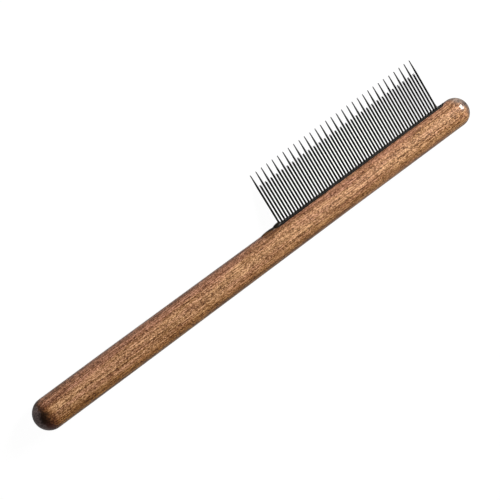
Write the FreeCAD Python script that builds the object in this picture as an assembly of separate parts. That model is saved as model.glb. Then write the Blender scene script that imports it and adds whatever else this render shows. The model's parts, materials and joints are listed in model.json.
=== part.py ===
"""Steel grooming comb: a turned wooden handle with one row of long and short steel pins.

The comb is drawn in a design frame, in millimetres: +X runs along the handle's axis from the tail end
to the head end, and the pins point along +Z. Each finished solid is then laid down as the comb lies on
a table, on its handle and its long pins' tips, with the origin under the middle of its bounding box.
"""

import FreeCAD, Part

import math
import os

from FreeCAD import Vector

# Handle: a turned round bar with half-ball ends, which narrows slightly towards the head.
HANDLE_LENGTH = 200.0
GRIP_RADIUS = 6.0
GRIP_END = 36.0  # from the tail end: the grip is a plain cylinder up to here
HEAD_RADIUS = 5.63
HEAD_START = 140.0  # from the tail end: the head is a plain cylinder from here

# Pins: one straight row, long and short in turn, with a long one at each end. The long ones are ground
# to a slender point with a small round tip, and the short ones are plain with a full round end.
PIN_COUNT = 61
PIN_PITCH = 1.26
FIRST_PIN = 113.3  # from the tail end
LONG_TIP = 26.73  # height of the tip above the handle's axis
SHORT_TIP = 21.67
PIN_RADIUS = 0.38
POINT_TAPER = 5.3  # length of the ground cone below the round tip
POINT_RADIUS = 0.17
ROOT_CHAMFER = 0.1
SHORT_PINS_PER_NODE = 2

# Pin bar: a strip with round ends, level with the handle's crown, that holds the pins' roots.
BAR_TOP = 5.6  # above the handle's axis
BAR_WIDTH = 3.0
BAR_HEIGHT = 4.0
BAR_EDGE_ROUND = 0.2
BAR_END = 1.26  # from an end pin's axis to the centre of the bar's round end
PIN_DEPTH = 3.5
HOLE_CLEARANCE = 0.01

# The bar is bonded into a slightly larger slot in the handle.
ADHESIVE_SIDE = 0.15
ADHESIVE_BED = 0.3

AXIS = Vector(1, 0, 0)
UP = Vector(0, 0, 1)
CENTRE = Vector(0, 0, 0)
LAST_PIN = FIRST_PIN + (PIN_COUNT - 1) * PIN_PITCH
BAR_BOTTOM = BAR_TOP - BAR_HEIGHT
PIN_ROOT = BAR_TOP - PIN_DEPTH
DIAGONAL = math.sqrt(0.5)

# The comb lies with its axis level, and the long tips reach down to the table.
PIN_SLOPE = math.degrees(math.asin((GRIP_RADIUS - POINT_RADIUS) / (LONG_TIP - POINT_RADIUS)))
TIP_REACH = (LONG_TIP - POINT_RADIUS) * math.cos(math.radians(PIN_SLOPE)) + POINT_RADIUS


def line(a, b):
    return Part.LineSegment(a, b).toShape()


def arc(a, middle, b):
    return Part.Arc(a, middle, b).toShape()


def turned(edges, centre, axis):
    """The solid of revolution of a closed outline that has one edge on its axis."""
    return Part.Face(Part.Wire(edges)).revolve(centre, axis, 360)


def handle_blank():
    """The turned bar before its slot is cut."""
    tail = Vector(0, 0, 0)
    head = Vector(HANDLE_LENGTH, 0, 0)
    grip_start = Vector(GRIP_RADIUS, 0, GRIP_RADIUS)
    grip_end = Vector(GRIP_END, 0, GRIP_RADIUS)
    head_start = Vector(HEAD_START, 0, HEAD_RADIUS)
    head_end = Vector(HANDLE_LENGTH - HEAD_RADIUS, 0, HEAD_RADIUS)
    tail_middle = Vector(GRIP_RADIUS * (1 - DIAGONAL), 0, GRIP_RADIUS * DIAGONAL)
    head_middle = Vector(HANDLE_LENGTH - HEAD_RADIUS * (1 - DIAGONAL), 0, HEAD_RADIUS * DIAGONAL)
    outline = [
        arc(tail, tail_middle, grip_start),
        line(grip_start, grip_end),
        line(grip_end, head_start),
        line(head_start, head_end),
        arc(head_end, head_middle, head),
        line(head, tail),
    ]
    return turned(outline, CENTRE, AXIS)


def round_ended_block(width, bottom, top):
    """A block along the pin row with half-round ends, centred on the row."""
    r = width / 2
    start, end = FIRST_PIN - BAR_END, LAST_PIN + BAR_END
    corners = [Vector(start, -r, bottom), Vector(end, -r, bottom)]
    corners += [Vector(end, r, bottom), Vector(start, r, bottom)]
    outline = [
        line(corners[0], corners[1]),
        arc(corners[1], Vector(end + r, 0, bottom), corners[2]),
        line(corners[2], corners[3]),
        arc(corners[3], Vector(start - r, 0, bottom), corners[0]),
    ]
    return Part.Face(Part.Wire(outline)).extrude(UP * (top - bottom))


def slot():
    """The milled slot, drawn through the handle's crown."""
    return round_ended_block(BAR_WIDTH + 2 * ADHESIVE_SIDE, BAR_BOTTOM - ADHESIVE_BED, 2 * GRIP_RADIUS)


def handle():
    return handle_blank().cut(slot())


def bar_blank():
    """The bar without its holes, with its top edge rounded."""
    blank = round_ended_block(BAR_WIDTH, BAR_BOTTOM, BAR_TOP)
    top_face = max(blank.Faces, key=lambda face: face.CenterOfMass.z)
    return blank.makeFillet(BAR_EDGE_ROUND, top_face.Edges)


def pin_bar():
    radius = PIN_RADIUS + HOLE_CLEARANCE
    holes = [Part.makeCylinder(radius, 2 * PIN_DEPTH, Vector(x, 0, PIN_ROOT), UP) for x in pin_places()]
    return bar_blank().cut(Part.makeCompound(holes))


def bar_adhesive():
    """The cured adhesive that fills the slot under and around the bar, up to the handle's surface."""
    return slot().common(handle_blank()).cut(bar_blank())


def pin_places():
    return [FIRST_PIN + i * PIN_PITCH for i in range(PIN_COUNT)]


def pin(x, tip, taper, end_radius):
    """A pin with a chamfered root in the bar, a plain stem, a cone of the taper's length and a round end."""
    ball_centre = tip - end_radius
    points = [
        Vector(x, 0, PIN_ROOT),
        Vector(x + PIN_RADIUS - ROOT_CHAMFER, 0, PIN_ROOT),
        Vector(x + PIN_RADIUS, 0, PIN_ROOT + ROOT_CHAMFER),
        Vector(x + PIN_RADIUS, 0, ball_centre - taper),
    ]
    if taper > 0:
        points.append(Vector(x + end_radius, 0, ball_centre))
    end = Vector(x, 0, tip)
    end_middle = Vector(x + end_radius * DIAGONAL, 0, ball_centre + end_radius * DIAGONAL)
    outline = [line(a, b) for a, b in zip(points, points[1:])]
    outline.append(arc(points[-1], end_middle, end))
    outline.append(line(end, points[0]))
    return turned(outline, points[0], UP)


def long_pin(x):
    return pin(x, LONG_TIP, POINT_TAPER, POINT_RADIUS)


def short_pin(x):
    return pin(x, SHORT_TIP, 0, PIN_RADIUS)


def laid_down(shape):
    """From the design frame to the frame of the comb as it lies on a table."""
    placed = shape.copy()
    placed.rotate(CENTRE, AXIS, -(90 + PIN_SLOPE))
    placed.translate(Vector(-HANDLE_LENGTH / 2, (GRIP_RADIUS - TIP_REACH) / 2, GRIP_RADIUS))
    return placed


def export(name, solids):
    for solid in solids:
        if not solid.isValid() or len(solid.Solids) != 1 or solid.Volume <= 0:
            raise ValueError(f"{name} isn't one good solid")
    shapes = [laid_down(solid.Solids[0]) for solid in solids]
    whole = shapes[0] if len(shapes) == 1 else Part.makeCompound(shapes)
    whole.exportStep(os.path.join("parts", name + ".step"))


def export_pins():
    places = pin_places()
    for number, x in enumerate(places[0::2], start=1):
        export(f"long_pin_{number:02d}", [long_pin(x)])
    short_places = places[1::2]
    starts = range(0, len(short_places), SHORT_PINS_PER_NODE)
    for number, start in enumerate(starts, start=1):
        group = short_places[start : start + SHORT_PINS_PER_NODE]
        export(f"short_pins_{number:02d}", [short_pin(x) for x in group])


def main():
    os.makedirs("parts", exist_ok=True)
    export("handle", [handle()])
    export("pin_bar", [pin_bar()])
    export("bar_adhesive", [bar_adhesive()])
    export_pins()


main()
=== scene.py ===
"""The looks of a wooden-handled steel grooming comb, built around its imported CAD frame.

Shapes are drawn in the comb's own frame, in metres, and then laid down into the row frame: x is the row
frame's X, +z is the way the pins point and y runs across the pin row, with the handle's axis at y = z = 0.
"""

import json
from math import asin, atan2, cos, pi, radians, sin, sqrt

import bmesh
import bpy
from mathutils import Matrix, Quaternion, Vector, noise


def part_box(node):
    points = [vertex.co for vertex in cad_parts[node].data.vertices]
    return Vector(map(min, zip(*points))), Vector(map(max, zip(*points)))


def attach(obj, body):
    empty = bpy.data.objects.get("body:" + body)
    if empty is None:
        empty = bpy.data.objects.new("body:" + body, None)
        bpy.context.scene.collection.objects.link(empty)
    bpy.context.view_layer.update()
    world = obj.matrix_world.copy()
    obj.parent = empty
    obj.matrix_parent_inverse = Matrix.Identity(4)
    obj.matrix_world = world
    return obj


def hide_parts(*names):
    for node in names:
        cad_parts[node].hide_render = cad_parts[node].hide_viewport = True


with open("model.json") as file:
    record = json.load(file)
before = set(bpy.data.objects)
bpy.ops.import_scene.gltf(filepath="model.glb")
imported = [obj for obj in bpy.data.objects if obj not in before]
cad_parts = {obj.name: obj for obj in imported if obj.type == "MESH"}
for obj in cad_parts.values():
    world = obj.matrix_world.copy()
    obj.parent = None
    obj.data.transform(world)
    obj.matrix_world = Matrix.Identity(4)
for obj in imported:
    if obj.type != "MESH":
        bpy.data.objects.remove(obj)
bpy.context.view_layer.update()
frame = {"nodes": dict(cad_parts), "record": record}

MM = 0.001
MERGE_DISTANCE = 1e-7
DEGENERATE_LENGTH = 1e-8
SHARP_ANGLE = radians(40)

# Handle
HEAD_RADIUS = 5.63 * MM
GRIP_LENGTH = 36 * MM  # from the tail end, the plain round grip
TAPER_LENGTH = 140 * MM  # from the tail end, where the plain head begins
RIM_ROUND = 0.12 * MM  # eased edge of the slot
HANDLE_SIDES = 160
DOME_RINGS = 36
GRIP_RINGS = 24
TAPER_RINGS = 60  # from the grip nearly to the slot
SLOT_APPROACH = 2 * MM  # the last length before the slot, with closer rings
APPROACH_RINGS = 8
HEAD_RINGS = 12  # from the slot to the head's half ball
SLOT_END_RINGS = 14  # along each of the slot's round ends
SLOT_SIDE_RINGS = 60
RIM_STEPS = 5

# Pin bar and the adhesive round it
BAR_HALF_WIDTH = 1.5 * MM
SLOT_HALF_WIDTH = 1.65 * MM
BAR_TOP = 5.6 * MM
BAR_HEIGHT = 4.0 * MM
BAR_EDGE_ROUND = 0.2 * MM
ADHESIVE_BED = 0.3 * MM
BAR_BOTTOM = BAR_TOP - BAR_HEIGHT
SLOT_FLOOR = BAR_BOTTOM - ADHESIVE_BED
FILM = 0.04 * MM  # how thick the adhesive lies on the wood beside the slot
FILM_EDGE = 0.02 * MM  # how deep its feathered edge is sunk
SMEAR_AT_TAIL = 0.45 * MM  # how far it spreads beyond the slot, near the tail end of the row
SMEAR_AT_HEAD = 0.03 * MM
FILM_TUCK = 0.02 * MM  # how far its inner edge reaches into the bar's side
FILM_SINK = 0.2 * MM  # how deep it goes down there
OUTLINE_END_STEPS = 20  # points round each round end of the bar's and the slot's outlines
OUTLINE_SIDE_STEPS = 200
EDGE_STEPS = 6

# Fillets of adhesive that climb the pins, with (radius of the foot, height) for the two end pins
FILLET_FOOT = 0.58 * MM
FILLET_HEIGHT = 0.35 * MM
FILLET_UNEVENNESS = 0.15 * MM
FIRST_PIN_FILLET = (0.8 * MM, 0.9 * MM)
LAST_PIN_FILLET = (0.75 * MM, 2.2 * MM)

# Drops of adhesive on the crown: (distance from the end pin, half length, half width, height, lean)
TAIL_BEAD = (-1.5 * MM, 1.9 * MM, 1.5 * MM, 0.85 * MM, 1.0 * MM)
WIPED_FILM = (-5.2 * MM, 3.3 * MM, 1.5 * MM, 0.45 * MM, 0)
HEAD_DROP = (3.2 * MM, 0.5 * MM, 0.6 * MM, 0.25 * MM, 0)

# Pins: the long ones end in a ground point, and the short ones are plain with a round end
PIN_COUNT = 61
PIN_PITCH = 1.26 * MM
PIN_RADIUS = 0.38 * MM
PIN_ROOT = 2.1 * MM
ROOT_CHAMFER = 0.1 * MM
LONG_TIP = 26.73 * MM
SHORT_TIP = 21.67 * MM
POINT_TAPER = 5.3 * MM
POINT_RADIUS = 0.17 * MM
PIN_SIDES = 24
STEM_STEPS = 8
CONE_STEPS = 8
BALL_STEPS = 6

grip = next(m for m in frame["record"]["mounts"] if m["name"] == "grip")
GRIP_RADIUS = grip["dims"]["r_mm"] * MM
AXIS_POINT = Vector((0, grip["pos_m"][1], grip["pos_m"][2]))
TAIL_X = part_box("handle")[0].x
HEAD_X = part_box("handle")[1].x
SLOT_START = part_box("bar_adhesive")[0].x
SLOT_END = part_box("bar_adhesive")[1].x

# The slope of the pins, from where the first long pin's round tip rests on the table.
tip_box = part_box("long_pin_01")
PIN_SLOPE = atan2(AXIS_POINT.z - POINT_RADIUS, tip_box[1].y - POINT_RADIUS - AXIS_POINT.y)
LAY_DOWN = Matrix.Translation(AXIS_POINT) @ Matrix.Rotation(-(pi / 2 + PIN_SLOPE), 4, "X")


# ---------------------------------------------------------------------------------------------- meshes


def make_piece(name, points, faces, material, nodes):
    """A mesh piece from points in the comb's own frame, laid down and standing for some CAD nodes."""
    mesh = bpy.data.meshes.new(name)
    bm = bmesh.new()
    verts = [bm.verts.new(LAY_DOWN @ Vector(p)) for p in points]
    for face in faces:
        bm.faces.new([verts[i] for i in face])
    bmesh.ops.remove_doubles(bm, verts=bm.verts, dist=MERGE_DISTANCE)
    bmesh.ops.dissolve_degenerate(bm, edges=bm.edges, dist=DEGENERATE_LENGTH)
    bmesh.ops.recalc_face_normals(bm, faces=bm.faces)
    for face in bm.faces:
        face.smooth = True
    for edge in bm.edges:
        if len(edge.link_faces) == 2 and edge.calc_face_angle(0) > SHARP_ANGLE:
            edge.smooth = False
    bm.to_mesh(mesh)
    bm.free()
    piece = bpy.data.objects.new(name, mesh)
    bpy.context.scene.collection.objects.link(piece)
    mesh.materials.append(material)
    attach(piece, "root")
    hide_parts(*nodes)


def skin(rings):
    """Points and quads that join equal closed rings of points, one after another."""
    count = len(rings[0])
    points = [p for ring in rings for p in ring]
    faces = []
    for i in range(len(rings) - 1):
        for j in range(count):
            a, b = i * count + j, i * count + (j + 1) % count
            faces.append((a, b, b + count, a + count))
    return points, faces


def joined(meshes):
    """One list of points and one of faces, from several pairs of them."""
    all_points, all_faces = [], []
    for points, faces in meshes:
        first = len(all_points)
        all_faces += [tuple(first + i for i in face) for face in faces]
        all_points += points
    return all_points, all_faces


def spread(start, end, steps):
    """Evenly spaced values from start up to, but not including, end."""
    return [start + (end - start) * i / steps for i in range(steps)]


def ripple(x, y, size, seed):
    """Smooth noise from about -1 to 1, with bumps of about the given size."""
    return noise.noise(Vector((x / size, y / size, seed)))


# ---------------------------------------------------------------------------------------------- handle


def handle_radius(x):
    """The turned profile: half-ball ends, a plain grip, a slight taper and a plain head."""
    from_tail, from_head = x - TAIL_X, HEAD_X - x
    if from_tail < GRIP_RADIUS:
        return sqrt(max(0, GRIP_RADIUS**2 - (GRIP_RADIUS - from_tail) ** 2))
    if from_head < HEAD_RADIUS:
        return sqrt(max(0, HEAD_RADIUS**2 - (HEAD_RADIUS - from_head) ** 2))
    if from_tail < GRIP_LENGTH:
        return GRIP_RADIUS
    if from_tail > TAPER_LENGTH:
        return HEAD_RADIUS
    share = (from_tail - GRIP_LENGTH) / (TAPER_LENGTH - GRIP_LENGTH)
    return GRIP_RADIUS + (HEAD_RADIUS - GRIP_RADIUS) * share


def slot_stations():
    """(x of the end's centre, direction, angle) for each station along the slot, from tail to head."""
    start, end = SLOT_START + SLOT_HALF_WIDTH, SLOT_END - SLOT_HALF_WIDTH
    turns = spread(0, pi / 2, SLOT_END_RINGS)
    stations = [(start, -1, angle) for angle in turns]
    stations += [(x, 0, pi / 2) for x in spread(start, end, SLOT_SIDE_RINGS)]
    stations.append((end, 0, pi / 2))
    stations += [(end, 1, angle) for angle in reversed(turns)]
    return stations


def open_ring(x, opening):
    """Points round the handle, from this angle on one side of its top to the same on the other side."""
    radius = handle_radius(x)
    angles = [opening + (2 * pi - 2 * opening) * j / HANDLE_SIDES for j in range(HANDLE_SIDES + 1)]
    return [(x, radius * sin(angle), radius * cos(angle)) for angle in angles]


def plain_ring(x):
    """A whole ring, which has no slot side."""
    return open_ring(x, 0), None


def slotted_ring(centre, direction, angle):
    """A ring that opens at the slot, and the points of the slot's side: rim, wall, other wall, other rim."""
    outer = SLOT_HALF_WIDTH + RIM_ROUND
    x = centre + direction * outer * cos(angle)
    arc = open_ring(x, asin(outer * sin(angle) / handle_radius(x)))
    one_side = []
    for k in range(1, RIM_STEPS + 1):
        turn = pi / 2 * k / RIM_STEPS
        width = SLOT_HALF_WIDTH + RIM_ROUND * (1 - sin(turn))
        y = width * sin(angle)
        z = sqrt(handle_radius(x) ** 2 - y * y) - RIM_ROUND * (1 - cos(turn))
        one_side.append((centre + direction * width * cos(angle), y, z))
    wall_x = centre + direction * SLOT_HALF_WIDTH * cos(angle)
    wall_y = SLOT_HALF_WIDTH * sin(angle)
    rim_end = one_side[-1][2]
    one_side += [(wall_x, wall_y, z) for z in ((rim_end + SLOT_FLOOR) / 2, SLOT_FLOOR)]
    other_side = [(px, -py, pz) for px, py, pz in one_side]
    return arc, one_side + list(reversed(other_side))


def handle_rings():
    """The rings from the tail to the head, each with the points of the slot's side or None."""
    dome_turns = spread(0, pi / 2, DOME_RINGS)
    tail_dome_end = TAIL_X + GRIP_RADIUS
    grip_end = TAIL_X + GRIP_LENGTH
    slot_start, slot_end = SLOT_START - RIM_ROUND, SLOT_END + RIM_ROUND
    head_dome_start = HEAD_X - HEAD_RADIUS

    before_slot = [TAIL_X + GRIP_RADIUS * (1 - cos(turn)) for turn in dome_turns]
    before_slot += spread(tail_dome_end, grip_end, GRIP_RINGS)
    before_slot += spread(grip_end, slot_start - SLOT_APPROACH, TAPER_RINGS)
    before_slot += spread(slot_start - SLOT_APPROACH, slot_start, APPROACH_RINGS)
    after_slot = spread(slot_end, head_dome_start, HEAD_RINGS)[1:]
    after_slot += [HEAD_X - HEAD_RADIUS * (1 - sin(turn)) for turn in dome_turns + [pi / 2]]

    rings = [plain_ring(x) for x in before_slot]
    rings += [slotted_ring(*station) for station in slot_stations()]
    return rings + [plain_ring(x) for x in after_slot]


def handle_piece(material):
    """The handle, as rings round its axis. Along the slot each ring opens at the crown and goes on
    over the eased rim, down one wall, across the floor and up the other wall."""
    points, faces = [], []
    previous = None
    for arc, slot_side in handle_rings():
        first = len(points)
        points += arc
        slot_first = len(points)
        if slot_side:
            points += slot_side
        if previous:
            before, slot_before = previous
            for j in range(HANDLE_SIDES):
                faces.append((before + j, before + j + 1, first + j + 1, first + j))
            if slot_side and slot_before is not None:
                old = [before] + list(range(slot_before, slot_before + len(slot_side)))
                new = [first] + list(range(slot_first, slot_first + len(slot_side)))
                old.append(before + HANDLE_SIDES)
                new.append(first + HANDLE_SIDES)
                for j in range(len(old) - 1):
                    faces.append((old[j + 1], old[j], new[j], new[j + 1]))
        previous = (first, slot_first if slot_side else None)
    make_piece("turned_handle", points, faces, material, ["handle"])


# ------------------------------------------------------------------------------ pin bar and adhesive


def stadium(half_width, height):
    """A ring of points round a strip with round ends, along the slot's middle line. half_width is a number
    or a function of x, and height is z or a function of x and y."""
    start, end = SLOT_START + SLOT_HALF_WIDTH, SLOT_END - SLOT_HALF_WIDTH

    def width_at(x):
        return half_width(x) if callable(half_width) else half_width

    flat = [(x, -width_at(x)) for x in spread(start, end, OUTLINE_SIDE_STEPS)]
    for turn in spread(-pi / 2, pi / 2, OUTLINE_END_STEPS):
        flat.append((end + width_at(end) * cos(turn), width_at(end) * sin(turn)))
    flat += [(x, width_at(x)) for x in spread(end, start, OUTLINE_SIDE_STEPS)]
    for turn in spread(pi / 2, 3 * pi / 2, OUTLINE_END_STEPS):
        flat.append((start + width_at(start) * cos(turn), width_at(start) * sin(turn)))
    return [(x, y, height(x, y) if callable(height) else height) for x, y in flat]


def bar_piece(material):
    """The bar that holds the pins, with its top edge rounded."""
    rings = [stadium(0, BAR_BOTTOM), stadium(BAR_HALF_WIDTH, BAR_BOTTOM)]
    for k in range(EDGE_STEPS + 1):
        turn = pi / 2 * k / EDGE_STEPS
        width = BAR_HALF_WIDTH - BAR_EDGE_ROUND * (1 - cos(turn))
        rings.append(stadium(width, BAR_TOP - BAR_EDGE_ROUND * (1 - sin(turn))))
    rings.append(stadium(BAR_HALF_WIDTH / 2, BAR_TOP))
    rings.append(stadium(0, BAR_TOP))
    points, faces = skin(rings)
    make_piece("black_pin_bar", points, faces, material, ["pin_bar"])


def on_handle(lift):
    """A height function: the handle's surface, raised by lift and a little ripple."""
    def height(x, y):
        return sqrt(handle_radius(x) ** 2 - y * y) + lift * (1 + 0.4 * ripple(x, y, 3 * MM, 1))
    return height


def smear_width(share):
    """A width function: from the bar's side (0) to the outer edge of the smeared adhesive (1)."""
    def width(x):
        along = (x - SLOT_START) / (SLOT_END - SLOT_START)
        smear = SMEAR_AT_TAIL + (SMEAR_AT_HEAD - SMEAR_AT_TAIL) * along
        smear *= 1 + 0.5 * ripple(x, 0, 4 * MM, 2) + 0.3 * ripple(x, 0, 1.2 * MM, 3)
        edge = SLOT_HALF_WIDTH + max(smear, SMEAR_AT_HEAD)
        return BAR_HALF_WIDTH + (edge - BAR_HALF_WIDTH) * share
    return width


def adhesive_line():
    """The adhesive in the slot: a bed under the bar, a thin wall round it, and a film over the rim."""
    inside = BAR_HALF_WIDTH - FILM_TUCK
    rings = [
        stadium(0, SLOT_FLOOR),
        stadium(SLOT_HALF_WIDTH, SLOT_FLOOR),
        stadium(SLOT_HALF_WIDTH, on_handle(-RIM_ROUND)),
        stadium(smear_width(1), on_handle(-FILM_EDGE)),
        stadium(smear_width(0.8), on_handle(FILM / 2)),
        stadium(smear_width(0.4), on_handle(FILM)),
        stadium(smear_width(0), on_handle(2 * FILM)),
        stadium(inside, on_handle(-FILM_SINK)),
        stadium(inside, BAR_BOTTOM),
        stadium(0, BAR_BOTTOM),
    ]
    return skin(rings)


def drop(x, half_length, half_width, height, lean):
    """A drop of adhesive on the handle's crown, with its top moved along x by lean."""
    sides, steps = 32, 8
    surface = on_handle(0)
    rings = [[(x, 0, BAR_TOP - BAR_EDGE_ROUND)] * sides]
    for k in range(-1, steps + 1):
        turn = pi / 2 * k / steps
        ring = []
        for angle in spread(0, 2 * pi, sides):
            px = x + half_length * cos(turn) * cos(angle) + lean * sin(turn)
            py = half_width * cos(turn) * sin(angle)
            ring.append((px, py, surface(px, py) + height * sin(turn)))
        rings.append(ring)
    return skin(rings)


def root_fillet(x, foot, height):
    """A hollow-sided cone of adhesive that climbs a pin from the bar's top, with a foot of this radius."""
    base = BAR_TOP - BAR_EDGE_ROUND
    profile = [(0, base), (foot, base)]
    for k in range(EDGE_STEPS + 1):
        share = k / EDGE_STEPS
        profile.append((PIN_RADIUS + (foot - PIN_RADIUS) * (1 - share) ** 2, BAR_TOP + height * share))
    profile.append((0, BAR_TOP + height))
    return pin_mesh(x, profile)


def adhesive_piece(material):
    """All the adhesive: the line round the bar, a fillet round each pin, and the drops at the row's ends."""
    first, last = pin_at(0), pin_at(PIN_COUNT - 1)
    meshes = [adhesive_line()]
    for i in range(PIN_COUNT):
        x = pin_at(i)
        height = FILLET_HEIGHT + FILLET_UNEVENNESS * ripple(x, 0, 0.7 * MM, 4)
        meshes.append(root_fillet(x, FILLET_FOOT, height))
    meshes.append(root_fillet(first, *FIRST_PIN_FILLET))
    meshes.append(root_fillet(last, *LAST_PIN_FILLET))
    for end_pin, (distance, *shape) in ((first, TAIL_BEAD), (first, WIPED_FILM), (last, HEAD_DROP)):
        meshes.append(drop(end_pin + distance, *shape))
    points, faces = joined(meshes)
    make_piece("adhesive_line", points, faces, material, ["bar_adhesive"])


# ------------------------------------------------------------------------------------------------ pins


def pin_profile(tip, taper, end_radius):
    """(radius, height) from the root to the tip, which is a ball above a cone of the taper's length."""
    ball = tip - end_radius
    shoulder = ball - taper
    profile = [(0, PIN_ROOT), (PIN_RADIUS - ROOT_CHAMFER, PIN_ROOT), (PIN_RADIUS, PIN_ROOT + ROOT_CHAMFER)]
    profile += [(PIN_RADIUS, z) for z in spread(BAR_TOP, shoulder, STEM_STEPS)]
    for share in spread(0, 1, CONE_STEPS if taper else 0):
        profile.append((PIN_RADIUS + (end_radius - PIN_RADIUS) * share, shoulder + taper * share))
    for k in range(BALL_STEPS + 1):
        turn = pi / 2 * k / BALL_STEPS
        profile.append((end_radius * cos(turn), ball + end_radius * sin(turn)))
    return profile


def pin_at(number):
    """x of a pin's axis, counted from the tail end of the row."""
    low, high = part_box("long_pin_01")
    return (low.x + high.x) / 2 + number * PIN_PITCH


def pin_mesh(x, profile):
    """A turned shape on a pin's axis."""
    turns = spread(0, 2 * pi, PIN_SIDES)
    return skin([[(x + r * cos(turn), r * sin(turn), z) for turn in turns] for r, z in profile])


def pin_pieces(material):
    """One piece for each CAD node of pins: a long pin alone, or two short ones either side of a long one."""
    long_profile = pin_profile(LONG_TIP, POINT_TAPER, POINT_RADIUS)
    short_profile = pin_profile(SHORT_TIP, 0, PIN_RADIUS)
    for node in sorted(frame["nodes"]):
        low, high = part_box(node)
        middle = (low.x + high.x) / 2
        if node.startswith("long_pin_"):
            meshes = [pin_mesh(middle, long_profile)]
        elif node.startswith("short_pins_"):
            meshes = [pin_mesh(middle + side * PIN_PITCH, short_profile) for side in (-1, 1)]
        else:
            continue
        points, faces = joined(meshes)
        make_piece("steel_" + node, points, faces, material, [node])


# ------------------------------------------------------------------------------------------- materials


class Surface:
    """A material, with shorthand for its node tree."""

    def __init__(self, name):
        self.material = bpy.data.materials.new(name)
        self.material.use_nodes = True
        self.tree = self.material.node_tree
        self.shader = self.tree.nodes["Principled BSDF"]

    def feed(self, socket, value):
        """Link a socket to another, or set it to a constant."""
        if isinstance(value, bpy.types.NodeSocket):
            self.tree.links.new(value, socket)
        else:
            socket.default_value = value

    def finish(self, **inputs):
        """Feed the shader's inputs, named with underscores for spaces, and give the material."""
        for name, value in inputs.items():
            self.feed(self.shader.inputs[name.replace("_", " ")], value)
        return self.material

    def node(self, kind, inputs, output=0, **settings):
        """The output of a new node with these inputs and settings."""
        node = self.tree.nodes.new(kind)
        for name, value in settings.items():
            setattr(node, name, value)
        for key, value in inputs.items():
            self.feed(node.inputs[key], value)
        return node.outputs[output]

    def place(self, size=(1, 1, 1)):
        """Coordinates in the comb's own frame, in units of the given size."""
        position = self.node("ShaderNodeTexCoord", {}, "Object")
        turn = LAY_DOWN.to_euler()
        inputs = {"Vector": position, "Location": AXIS_POINT, "Rotation": turn, "Scale": size}
        return self.node("ShaderNodeMapping", inputs, vector_type="TEXTURE")

    def along(self, axis):
        """One coordinate in the comb's own frame, in metres."""
        return self.node("ShaderNodeSeparateXYZ", {0: self.place()}, axis)

    def grain(self, length, across, detail=1.0, seed=0.0, along="X"):
        """Noise in blotches of this length along one axis, in millimetres, from about 0.2 to 0.8."""
        size = [length * MM if axis == along else across * MM for axis in "XYZ"]
        inputs = {"Vector": self.place(size), "W": seed, "Scale": 1.0, "Detail": detail}
        return self.node("ShaderNodeTexNoise", inputs, noise_dimensions="4D")

    def flecks(self, length, across):
        """Random numbers from 0 to 1 in small cells that blend where they meet, with this length along
        the handle and this width across it, in millimetres."""
        size = (length * MM, across * MM, across * MM)
        inputs = {"Vector": self.place(size), "Scale": 1.0, "Smoothness": 0.5}
        colour = self.node("ShaderNodeTexVoronoi", inputs, "Color", feature="SMOOTH_F1")
        return self.node("ShaderNodeSeparateXYZ", {0: colour})

    def level(self, value, low, high, start=0.0, end=1.0):
        """A value's place between low and high, as a number from start to end."""
        inputs = {"Value": value, "From Min": low, "From Max": high, "To Min": start, "To Max": end}
        return self.node("ShaderNodeMapRange", inputs)

    def maths(self, operation, a, b=0.0):
        """One step of arithmetic on one or two numbers."""
        return self.node("ShaderNodeMath", {0: a, 1: b}, operation=operation)

    def between(self, factor, a, b):
        """Two numbers, mixed."""
        return self.node("ShaderNodeMix", {0: factor, 2: a, 3: b})

    def mix(self, factor, a, b, blend="MIX"):
        """Two colours, mixed or multiplied. A colour is three numbers or a socket, and a number's socket
        gives a grey."""
        a, b = ((*c, 1) if isinstance(c, tuple) else c for c in (a, b))
        inputs = {0: factor, 6: a, 7: b}
        return self.node("ShaderNodeMix", inputs, 2, data_type="RGBA", blend_type=blend)

    def bump(self, height, depth):
        """A normal for relief that is this deep, in metres, where the height is 1."""
        inputs = {"Height": height, "Distance": depth, "Strength": 1.0}
        return self.node("ShaderNodeBump", inputs)


def stained_wood(look, x, z):
    """The wood without flecks: golden with redder patches, redder on the side towards the pins, browner on
    the other side as painted shade, and a little darker towards the tail. It is stained just before the row,
    where adhesive was wiped over the crown."""
    golden, red = (0.27, 0.13, 0.05), (0.242, 0.102, 0.048)
    brown, stain = (0.16, 0.06, 0.009), (0.13, 0.05, 0.015)

    patches = look.level(look.grain(14, 1.6, 2, seed=2), 0.42, 0.62, 0.0, 0.6)
    wander = look.level(look.grain(25, 3, seed=1), 0.3, 0.7, -2.4 * MM, 0.8 * MM)
    upper_side = look.level(look.maths("ADD", z, wander), 1.9 * MM, 3.9 * MM)
    colour = look.mix(look.maths("MAXIMUM", patches, upper_side), golden, red)
    shade = look.level(x, TAIL_X, HEAD_X, 0.89, 1.02)
    colour = look.mix(1.0, colour, shade, "MULTIPLY")

    # Painted shade: the side away from the pins is browner, most at the tail.
    painted_shade_side = look.level(z, -0.8 * MM, -3.9 * MM)
    painted_shade_fade = look.level(x, TAIL_X, HEAD_X, 1.0, 0.35)
    colour = look.mix(look.maths("MULTIPLY", painted_shade_side, painted_shade_fade), colour, brown)

    wipe_start = look.level(x, pin_at(0) - 9 * MM, pin_at(0) - 7.5 * MM)
    wipe_end = look.level(x, pin_at(0), pin_at(0) - 2 * MM)
    crown = look.level(z, 4 * MM, 5 * MM, 0.0, 0.9)
    wiped = look.maths("MULTIPLY", crown, look.maths("MULTIPLY", wipe_start, wipe_end))
    return look.mix(wiped, colour, stain)


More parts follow.
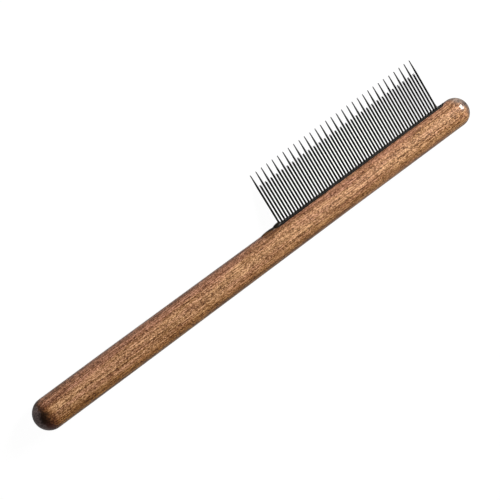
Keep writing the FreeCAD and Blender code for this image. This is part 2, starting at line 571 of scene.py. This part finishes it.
def wood_tail(look, colour, speckle, ragged, x, z):
    """The wood's colour with the tail's: it goes brown, then ends in dark end grain, which is redder below.
    This darkening is partly the end grain's stain and partly painted shade on the end that faces away from
    the key light, and it is shorter and weaker on the side towards the pins. A speckled grey-brown painted
    reflection lies over the tip, paler on the side towards the pins as painted light."""
    stain_and_shade_brown = (0.6, 0.47, 0.33)
    end_grain_and_shade, end_grain_and_shade_red = (0.022, 0.01, 0.005), (0.075, 0.022, 0.013)
    tip_dark, tip_painted_light = (0.11, 0.072, 0.064), (0.38, 0.27, 0.25)

    # Painted shade with the end grain's stain: brown, then dark towards the tail, shorter and weaker on the
    # side towards the pins.
    upper_side = look.level(z, 2.5 * MM, 5 * MM, 0.0, 1.5 * MM)
    reach = look.maths("ADD", look.maths("ADD", x, ragged), upper_side)
    stain_and_shade = look.level(reach, TAIL_X + 7.8 * MM, TAIL_X + 5 * MM)
    colour = look.mix(stain_and_shade, colour, stain_and_shade_brown, "MULTIPLY")
    darkness = look.level(reach, TAIL_X + 5.9 * MM, TAIL_X + 3.4 * MM, 0.0, 0.95)
    darkness = look.maths("MULTIPLY", darkness, look.level(z, 2 * MM, 4.5 * MM, 1.0, 0.5))
    dark_end = look.mix(look.level(z, 0.0, -3 * MM), end_grain_and_shade, end_grain_and_shade_red)
    colour = look.mix(darkness, colour, dark_end)

    # Painted reflection: a speckled grey-brown cover over the tip, paler on the side towards the pins as
    # painted light.
    mottle = look.level(look.grain(1.2, 0.6, 2, seed=7), 0.35, 0.65, 0.0, 0.45)
    painted_paleness = look.maths("ADD", mottle, look.level(z, 2 * MM, 4.5 * MM, 0.0, 0.55))
    tip_tone = look.mix(1.0, look.mix(painted_paleness, tip_dark, tip_painted_light), speckle, "MULTIPLY")
    sideways = look.level(look.maths("ABSOLUTE", z), 1 * MM, 4.2 * MM, 0.0, 1.7 * MM)
    tip_reach = look.maths("ADD", x, look.maths("MULTIPLY", ragged, 0.4))
    tip_reach = look.maths("SUBTRACT", tip_reach, sideways)
    tip_cover = look.level(tip_reach, TAIL_X + 1.7 * MM, TAIL_X + 0.8 * MM, 0.0, 0.9)
    return look.mix(tip_cover, colour, tip_tone)


def wood_head(look, colour, speckle, ragged, x, z):
    """The wood's colour with the head's: a speckled dark grey tip, which on the side towards the pins turns
    into a paler painted sheen that reaches further along."""
    tip_dark, tip_painted_light = (0.045, 0.034, 0.03), (0.18, 0.135, 0.11)

    # Painted sheen: paler on the side towards the pins, and reaching further from the tip there.
    tip_tone = look.mix(look.level(z, 2 * MM, 4.5 * MM), tip_dark, tip_painted_light)
    tip_tone = look.mix(1.0, tip_tone, speckle, "MULTIPLY")
    upper_side = look.level(z, 1 * MM, 5.2 * MM, 0.0, 2.8 * MM)
    reach = look.maths("ADD", look.maths("ADD", x, ragged), upper_side)
    tip_cover = look.level(reach, HEAD_X - 4 * MM, HEAD_X - 1.8 * MM, 0.0, 0.92)
    return look.mix(tip_cover, colour, tip_tone)


def wood_material():
    """Brown-stained, lacquered wood with fine streaks and small dark and light flecks along the grain."""
    look = Surface("wood_lacquered")
    dark_gain, light_gain = (0.18, 0.085, 0.035), (2.4, 2.9, 3.9)
    x, z = look.along("X"), look.along("Z")

    streaks, specks = look.flecks(9, 0.2), look.flecks(0.42, 0.22)
    tone = look.between(look.level(x, TAIL_X, HEAD_X, 0.46, 0.36), specks, streaks)
    glints = look.level(tone, 0.5, 0.82)
    pores = look.level(tone, 0.5, 0.18)
    colour = look.mix(glints, stained_wood(look, x, z), light_gain, "MULTIPLY")
    colour = look.mix(pores, colour, dark_gain, "MULTIPLY")

    speckle = look.level(tone, 0.25, 0.75, 0.5, 1.5)
    ragged = look.level(look.grain(2.5, 1.2, 2, seed=6), 0.3, 0.7, -1 * MM, 1 * MM)
    colour = wood_tail(look, colour, speckle, ragged, x, z)
    colour = wood_head(look, colour, speckle, ragged, x, z)
    return look.finish(
        Base_Color=colour,
        Roughness=look.level(streaks, 0.0, 1.0, 0.38, 0.52),
        Specular_IOR_Level=0.2,
        Normal=look.bump(look.maths("SUBTRACT", streaks, pores), 0.03 * MM),
        Coat_Weight=0.5,
        Coat_Roughness=0.1,
        Sheen_Weight=0.1,
        Sheen_Roughness=0.3,
    )


def bar_material():
    """Satin black plastic, faintly mottled."""
    look = Surface("bar_black")
    mottle = look.grain(1.2, 0.5, 3, seed=1)
    return look.finish(
        Base_Color=look.mix(mottle, (0.008, 0.008, 0.008), (0.024, 0.022, 0.02)),
        Roughness=look.level(mottle, 0.3, 0.7, 0.4, 0.6),
        Normal=look.bump(mottle, 0.02 * MM),
        Specular_IOR_Level=0.35,
    )


def adhesive_material():
    """Cured adhesive, almost black, and brown where it was wiped thin over the wood before the row."""
    look = Surface("adhesive_dark")
    lumps = look.grain(1.6, 0.6, 2, seed=1)
    thick_colour = look.mix(lumps, (0.004, 0.003, 0.002), (0.018, 0.013, 0.009))
    thin_colour = look.mix(lumps, (0.05, 0.02, 0.007), (0.13, 0.06, 0.024))
    crown = look.level(look.along("Z"), 5.4 * MM, 6.1 * MM, -0.6 * MM, 3 * MM)
    reach = look.maths("ADD", look.along("X"), crown)
    thin = look.level(reach, pin_at(0) - 2.4 * MM, pin_at(0) - 3.4 * MM)
    return look.finish(
        Base_Color=look.mix(thin, thick_colour, thin_colour),
        Roughness=look.level(lumps, 0.35, 0.65, 0.25, 0.5),
        Normal=look.bump(lumps, 0.04 * MM),
        Specular_IOR_Level=0.2,
    )


def steel_material():
    """Polished wire: fine drawn lines along each pin, and painted shade that darkens it towards its root."""
    look = Surface("pin_steel")
    drawn = look.grain(6, 0.08, 2, seed=1, along="Z")
    bright = look.mix(drawn, (0.13, 0.13, 0.135), (0.25, 0.245, 0.24))
    # Painted shade: each pin is darker towards its root.
    film = look.level(look.along("Z"), BAR_TOP + 1.6 * MM, BAR_TOP, 0.0, 0.8)
    return look.finish(
        Base_Color=look.mix(film, bright, (0.05, 0.045, 0.04)),
        Metallic=1.0,
        Roughness=look.level(drawn, 0.3, 0.7, 0.08, 0.2),
    )


handle_piece(wood_material())
bar_piece(bar_material())
adhesive_piece(adhesive_material())
pin_pieces(steel_material())


# --------------------------------------------------------------------------------- stage, light, camera


# The floor's size and the camera's target and distance are in metres, and its lens in millimetres.
FLOOR_SIZE = 6
CAMERA_TARGET = Vector((-1.672, -5.334, 5.87)) * MM
CAMERA_BEARING = radians(121.06)
CAMERA_ELEVATION = radians(57.253)
CAMERA_ROLL = radians(116.72)
CAMERA_DISTANCE = 0.7015
CAMERA_LENS = 141.23


def floor_material():
    """Seamless white paper that is lit evenly from within, so that the comb barely shades it."""
    look = Surface("floor_white")
    return look.finish(
        Base_Color=(0.04, 0.04, 0.04, 1),
        Roughness=1,
        Specular_IOR_Level=0,
        Emission_Color=(1, 1, 1, 1),
        Emission_Strength=0.97,
    )


def make_floor():
    """The table that the comb lies on."""
    mesh = bpy.data.meshes.new("floor")
    corners = ((-1, -1), (1, -1), (1, 1), (-1, 1))
    points = [(x * FLOOR_SIZE / 2, y * FLOOR_SIZE / 2, 0) for x, y in corners]
    mesh.from_pydata(points, [], [(0, 1, 2, 3)])
    floor = bpy.data.objects.new("floor", mesh)
    mesh.materials.append(floor_material())
    bpy.context.scene.collection.objects.link(floor)
    floor.visible_diffuse = False
    floor.visible_glossy = False


def make_area(name, direction, distance, size, power):
    """A round area light that faces the comb from this direction."""
    light = bpy.data.lights.new(name, "AREA")
    light.shape = "DISK"
    light.size = size
    light.energy = power
    lamp = bpy.data.objects.new(name, light)
    away = Vector(direction).normalized()
    lamp.location = away * distance
    lamp.rotation_euler = away.to_track_quat("Z", "Y").to_euler()
    bpy.context.scene.collection.objects.link(lamp)
    return lamp


def make_world():
    """A dim studio: grey low down, and nearly black from a little above the horizon."""
    low, low_grey = 0.05, 0.2
    high, high_grey = 0.3, 0.02
    world = bpy.data.worlds.new("studio")
    bpy.context.scene.world = world
    world.use_nodes = True
    nodes, links = world.node_tree.nodes, world.node_tree.links
    place = nodes.new("ShaderNodeTexCoord")
    split = nodes.new("ShaderNodeSeparateXYZ")
    ramp = nodes.new("ShaderNodeValToRGB")
    links.new(place.outputs["Generated"], split.inputs[0])
    links.new(split.outputs["Z"], ramp.inputs[0])
    links.new(ramp.outputs[0], nodes["Background"].inputs["Color"])
    for stop, position, grey in zip(ramp.color_ramp.elements, (low, high), (low_grey, high_grey)):
        stop.position = position
        stop.color = (grey, grey, grey, 1)


def make_camera():
    """The camera, at this distance from its target, looking down at the comb and rolled about its view."""
    bearing, elevation = CAMERA_BEARING, CAMERA_ELEVATION
    away = Vector((cos(bearing) * cos(elevation), sin(bearing) * cos(elevation), sin(elevation)))
    data = bpy.data.cameras.new("camera")
    data.lens = CAMERA_LENS
    data.clip_start = 0.01
    data.clip_end = 20
    camera = bpy.data.objects.new("camera", data)
    camera.location = CAMERA_TARGET + away * CAMERA_DISTANCE
    turn = (-away).to_track_quat("-Z", "Y") @ Quaternion((0, 0, 1), CAMERA_ROLL)
    camera.rotation_euler = turn.to_euler()
    bpy.context.scene.collection.objects.link(camera)
    bpy.context.scene.camera = camera


make_floor()
make_world()
make_area("key", (0.8, 0.34, 0.5), distance=1.2, size=0.6, power=33)
make_area("fill", (-0.3, 0.5, 0.85), distance=1.4, size=0.5, power=4.5).visible_glossy = False
make_area("back", (-0.2, -0.9, 0.35), distance=1.4, size=0.8, power=6).visible_glossy = False
make_camera()
bpy.context.scene.view_settings.view_transform = "Standard"
